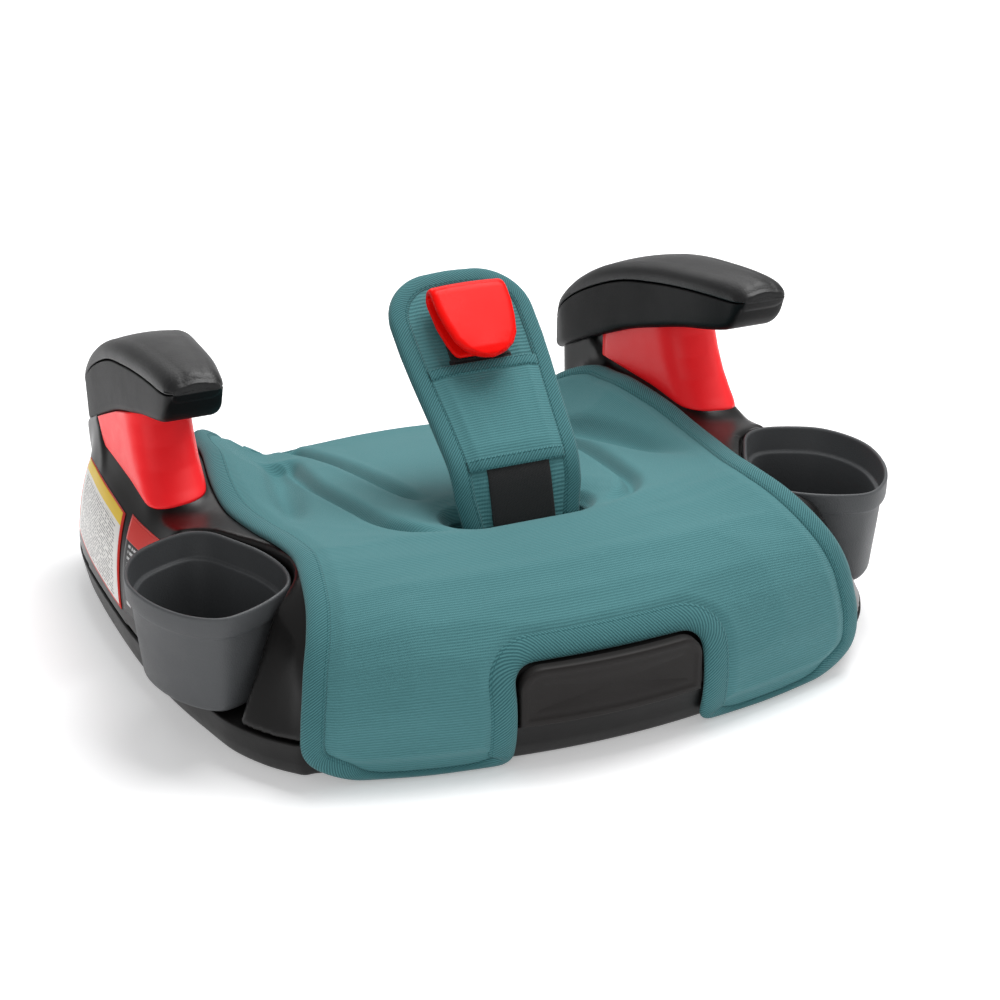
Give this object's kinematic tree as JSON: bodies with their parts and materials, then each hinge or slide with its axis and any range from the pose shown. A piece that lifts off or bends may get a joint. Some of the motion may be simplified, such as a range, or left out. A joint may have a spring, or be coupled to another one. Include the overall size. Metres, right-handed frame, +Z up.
{
  "type": "booster seat",
  "caption": "Backless booster seat with padded fabric cover, armrests with belt guides, a lap-belt strap with clip and lift-off cup holders.",
  "frame": {"origin": "bottom centre of the overall box, on the ground plane", "axes": "+X across the seat towards the armrest on the right seen from the front, -Y towards the front edge, +Z up"},
  "size_m": [0.457, 0.368, 0.1979],
  "materials": {
    "base_pan": "satin black moulded plastic",
    "seat_shell": "satin black moulded plastic",
    "foam_pad": "pale seat foam",
    "seat_cover": "teal ribbed knit, padded",
    "cover_binding": "teal twill tape",
    "armrest_shell": "satin black moulded plastic",
    "armrest_pad": "fine grained black soft-touch plastic",
    "belt_guide": "bright red moulded plastic",
    "cup_holder": "matt charcoal moulded plastic",
    "webbing": "black woven webbing",
    "anchor_bar": "plain round steel bar",
    "strap_pad": "teal ribbed knit, padded",
    "strap_tape": "teal twill tape",
    "clip": "glossy bright red plastic",
    "screw": "zinc plated steel",
    "label": "blank white printed vinyl",
    "front_panel": "fine grained black plastic"
  },
  "bodies": {
    "base": {"base_pan": "base_pan", "seat_shell": "seat_shell", "foam_pad": "foam_pad", "seat_cover": "seat_cover", "cover_binding": "cover_binding", "armrest_shell_left": "armrest_shell", "armrest_shell_right": "armrest_shell", "armrest_pad_left": "armrest_pad", "armrest_pad_right": "armrest_pad", "belt_guide_left": "belt_guide", "belt_guide_right": "belt_guide", "strap_tail": "webbing", "strap_anchor_bar": "anchor_bar", "base_screws": "screw", "armrest_screws": "screw", "side_label": "label", "front_panel": "front_panel"},
    "strap": {"strap_webbing": "webbing", "strap_pad": "strap_pad", "strap_piping": "strap_tape", "strap_sleeve": "strap_tape"},
    "clip": {"clip_webbing": "webbing", "lap_belt_clip": "clip"},
    "cup_left": {"cup_holder_left": "cup_holder"},
    "cup_right": {"cup_holder_right": "cup_holder"}
  },
  "joints": [
    {"name": "strap_tilt", "type": "hinge", "parent": "base", "child": "strap", "pos_m": [0, -0.06004, 0.09459], "axis": [1, 0, 0], "range_deg": [-30, 85]},
    {"name": "clip_tilt", "type": "hinge", "parent": "strap", "child": "clip", "pos_m": [0, 0.00002, 0.16047], "axis": [1, 0, 0], "range_deg": [0, 32]},
    {"name": "cup_left_lift", "type": "slide", "parent": "base", "child": "cup_left", "axis": [0, 0, 1], "range_m": [0, 0.065]},
    {"name": "cup_right_lift", "type": "slide", "parent": "base", "child": "cup_right", "axis": [0, 0, 1], "range_m": [0, 0.065]}
  ]
}
